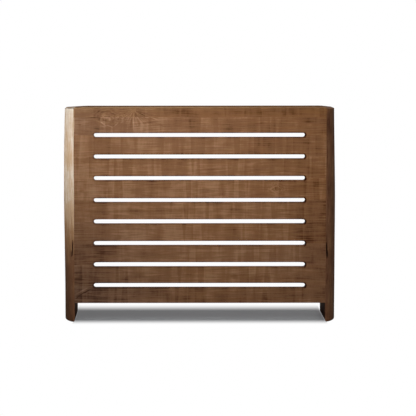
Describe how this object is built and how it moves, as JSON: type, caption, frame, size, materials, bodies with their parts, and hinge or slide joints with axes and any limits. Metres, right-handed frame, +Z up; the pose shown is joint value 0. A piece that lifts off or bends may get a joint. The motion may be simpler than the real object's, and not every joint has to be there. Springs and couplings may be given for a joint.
{
  "type": "radiator cover",
  "caption": "Rustic stained wood radiator cover with thick bevelled side boards, long horizontal air slots in front and an open back.",
  "frame": {"origin": "on the floor, under the middle of the cover's width and depth", "axes": "+Z up, +X along the front to the viewer's right, +Y back towards the wall, so the slotted front faces -Y"},
  "size_m": [1.05, 0.19, 0.82],
  "materials": {
    "front_boards": "mid brown wood stain under a thin satin wax, fine sawn and brushed grain, soft arrises",
    "side_boards": "mid brown wood stain under a thin satin wax, long grain running up the board",
    "top_board": "mid brown wood stain under a thin satin wax, grain running along the board",
    "rear_rail": "brown wood stain, left without wax",
    "battens": "planed bare softwood with small knots",
    "dowels": "bare beech with fluted sides",
    "brackets": "bright zinc plate on pressed steel",
    "screws": "yellow zinc plate, cross recess in the head"
  },
  "bodies": {
    "root": {"top_board": "top_board", "left_side_board": "side_boards", "right_side_board": "side_boards", "front_top_rail": "front_boards", "front_slat_1": "front_boards", "front_slat_2": "front_boards", "front_slat_3": "front_boards", "front_slat_4": "front_boards", "front_slat_5": "front_boards", "front_slat_6": "front_boards", "front_slat_7": "front_boards", "front_bottom_rail": "front_boards", "rear_top_rail": "rear_rail", "front_cleat": "battens", "left_cleat": "battens", "right_cleat": "battens", "left_corner_batten": "battens", "right_corner_batten": "battens", "left_wall_bracket": "brackets", "right_wall_bracket": "brackets", "left_top_dowel_1": "dowels", "left_top_dowel_2": "dowels", "left_top_dowel_3": "dowels", "right_top_dowel_1": "dowels", "right_top_dowel_2": "dowels", "right_top_dowel_3": "dowels", "left_rear_rail_dowel_1": "dowels", "left_rear_rail_dowel_2": "dowels", "right_rear_rail_dowel_1": "dowels", "right_rear_rail_dowel_2": "dowels", "left_batten_screw_1": "screws", "left_batten_screw_2": "screws", "left_batten_screw_3": "screws", "left_batten_screw_4": "screws", "left_batten_screw_5": "screws", "left_batten_screw_6": "screws", "left_batten_screw_7": "screws", "left_batten_screw_8": "screws", "left_batten_screw_9": "screws", "right_batten_screw_1": "screws", "right_batten_screw_2": "screws", "right_batten_screw_3": "screws", "right_batten_screw_4": "screws", "right_batten_screw_5": "screws", "right_batten_screw_6": "screws", "right_batten_screw_7": "screws", "right_batten_screw_8": "screws", "right_batten_screw_9": "screws", "left_cleat_screw_1": "screws", "right_cleat_screw_1": "screws", "front_cleat_screw_1": "screws", "front_cleat_screw_2": "screws", "front_cleat_screw_3": "screws", "rear_rail_screw_1": "screws", "rear_rail_screw_2": "screws", "rear_rail_screw_3": "screws", "left_bracket_screw_1": "screws", "left_bracket_screw_2": "screws", "right_bracket_screw_1": "screws", "right_bracket_screw_2": "screws"}
  },
  "joints": []
}
